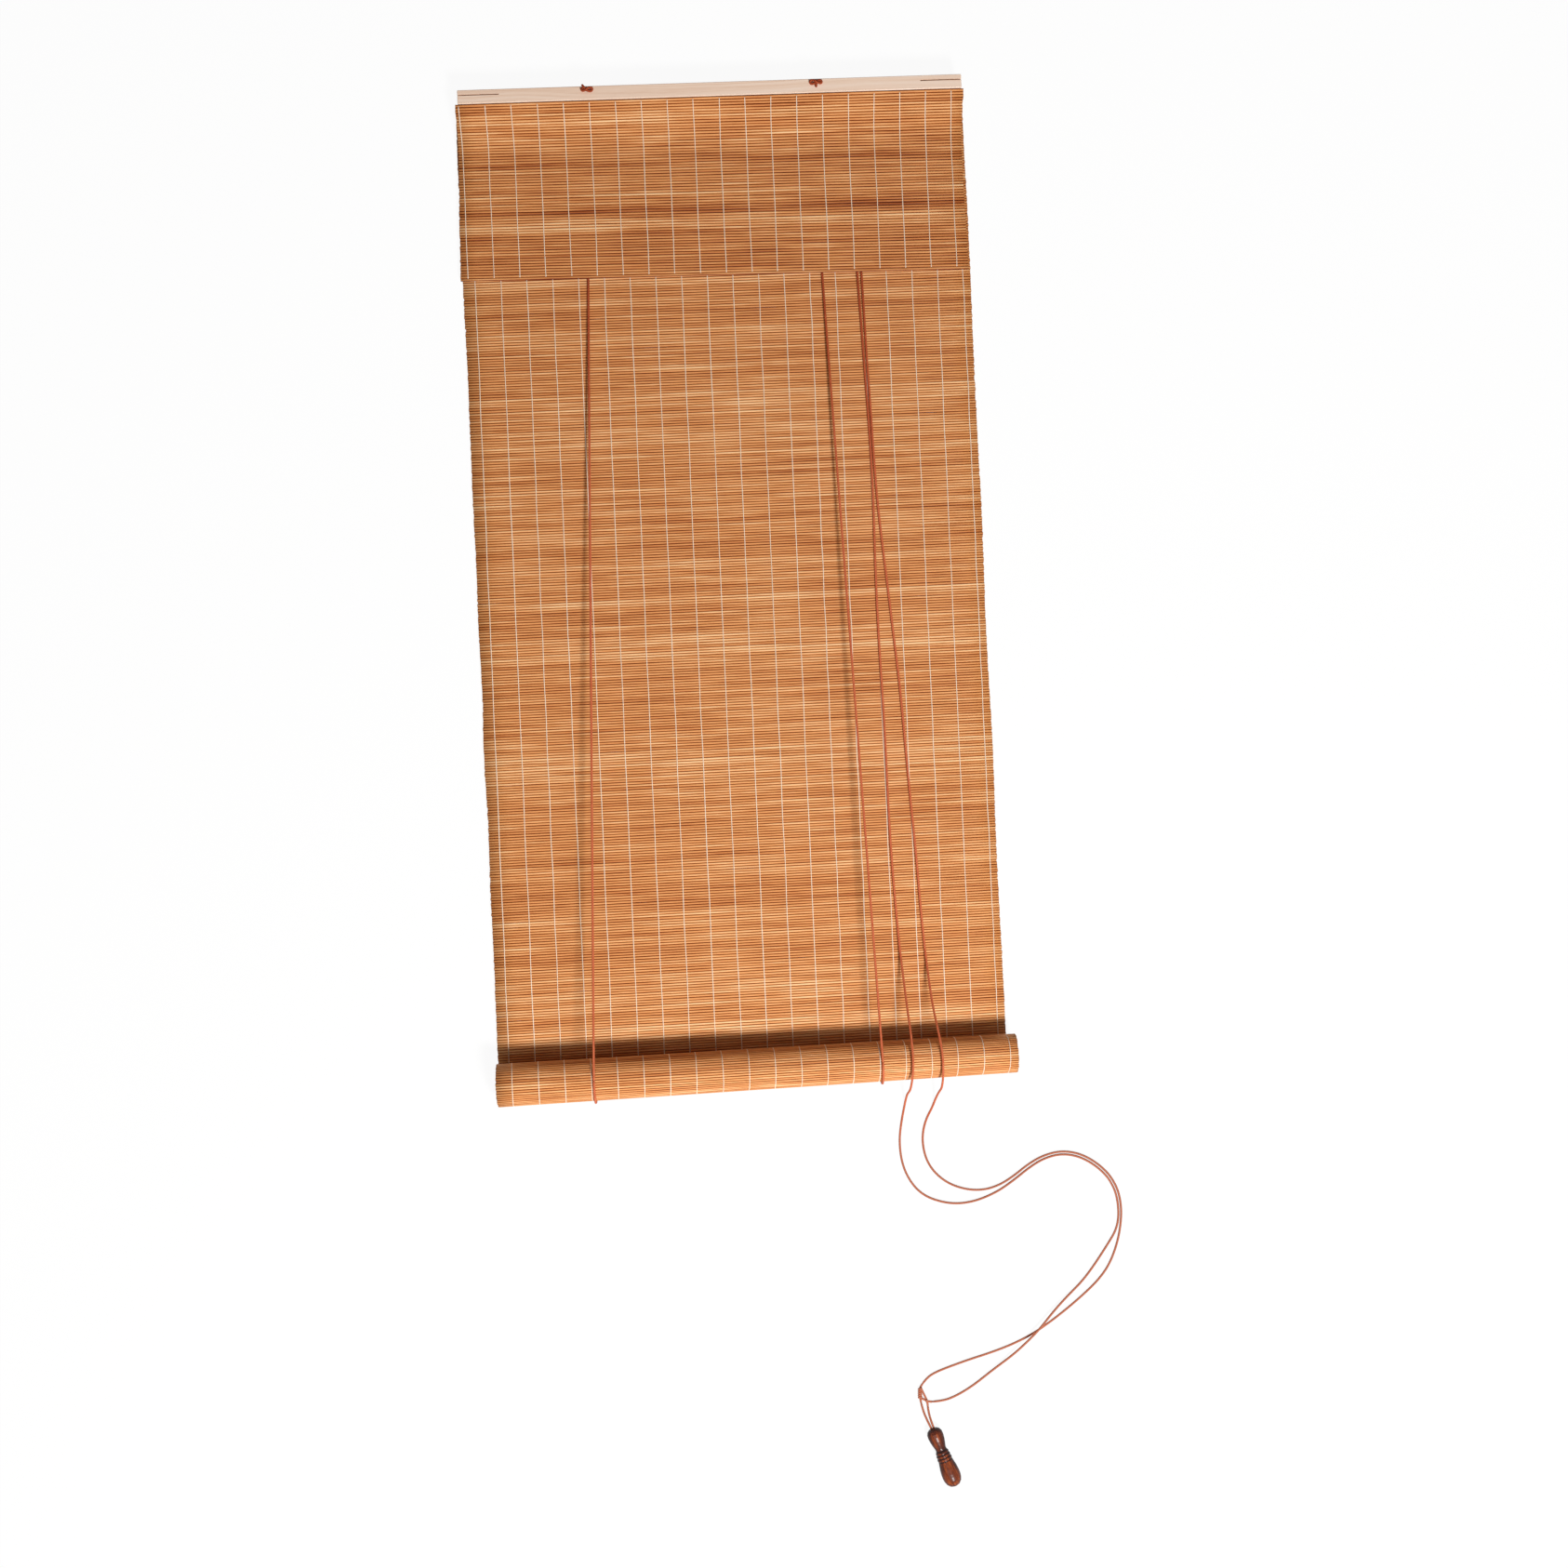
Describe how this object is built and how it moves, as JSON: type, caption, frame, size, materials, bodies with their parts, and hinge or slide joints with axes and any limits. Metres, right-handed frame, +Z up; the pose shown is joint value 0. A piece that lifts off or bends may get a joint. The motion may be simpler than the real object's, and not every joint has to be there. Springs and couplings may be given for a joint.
{
  "type": "roll-up blind",
  "caption": "Roll-up slat blind with a head batten, a short valance, a partly rolled mat and pull cords ending in a turned wooden tassel.",
  "frame": {"origin": "on the surface it lies on, under the middle of the blind without its pull cords", "axes": "+X to the right along the slats, +Y towards the head batten, +Z up out of the front side"},
  "size_m": [0.729, 1.6461, 0.0606],
  "materials": {
    "pine": "planed, unvarnished",
    "slat_bamboo": "split bamboo, light varnish",
    "dark_bamboo": "split bamboo, light varnish",
    "thread": "spun cotton thread",
    "cord": "braided cord",
    "steel": "zinc plated",
    "nylon": "moulded",
    "turned_wood": "dark gloss varnish"
  },
  "bodies": {
    "head": {"head_batten": "pine", "main_mat": "slat_bamboo", "valance": "dark_bamboo", "mat_threads": "thread", "valance_threads": "thread", "left_pulley_frame": "steel", "right_pulley_frame": "steel", "lock_frame": "steel", "left_sheave_pin": "steel", "right_sheave_pin": "steel", "guide_pin": "steel", "frame_screws": "steel", "left_knot": "cord", "right_knot": "cord", "left_back_cord": "cord", "right_back_cord": "cord", "left_front_cord": "cord", "right_front_cord": "cord", "pull_cord_a": "cord", "pull_cord_b": "cord", "pull_knot": "cord", "tassel_cord_left": "cord", "tassel_cord_right": "cord", "tassel": "turned_wood"},
    "carrier": {"left_cord_loop": "cord", "right_cord_loop": "cord"},
    "roll": {"mat_roll": "slat_bamboo", "bottom_rail": "pine"},
    "left_wheel": {"left_sheave": "nylon"},
    "right_wheel": {"right_sheave": "nylon"},
    "guide_wheel": {"guide_roller": "steel"},
    "cam_slider": {"cam_pin": "steel"},
    "cam": {"cam_roller": "steel"}
  },
  "joints": [
    {"name": "roll_travel", "type": "slide", "parent": "head", "child": "carrier", "axis": [0, 1, 0], "range_m": [0, 0.9076], "deforming": ["main_mat", "mat_threads", "left_back_cord", "right_back_cord", "left_front_cord", "right_front_cord", "pull_cord_a", "pull_cord_b"]},
    {"name": "roll_turn", "type": "hinge", "parent": "carrier", "child": "roll", "pos_m": [0, -0.55845, 0.0293], "axis": [1, 0, 0], "range_deg": [-2160, 0]},
    {"name": "left_sheave_spin", "type": "hinge", "parent": "head", "child": "left_wheel", "pos_m": [-0.1407, 0.56525, 0.0184], "axis": [0, 1, 0], "continuous": true},
    {"name": "right_sheave_spin", "type": "hinge", "parent": "head", "child": "right_wheel", "pos_m": [0.1278, 0.56525, 0.0157], "axis": [0, 1, 0], "continuous": true},
    {"name": "guide_roller_spin", "type": "hinge", "parent": "head", "child": "guide_wheel", "pos_m": [0.1584, 0.56525, 0.0162], "axis": [0, 1, 0], "continuous": true},
    {"name": "cam_slide", "type": "slide", "parent": "head", "child": "cam_slider", "axis": [0.5, 0, 0.866], "range_m": [0, 0.005]},
    {"name": "cam_roller_spin", "type": "hinge", "parent": "cam_slider", "child": "cam", "pos_m": [0.1725, 0.56525, 0.016], "axis": [0, 1, 0], "continuous": true}
  ],
  "couplings": [
    {"joint": "roll_turn", "follows": "roll_travel", "rad_per_m": -41.537}
  ]
}
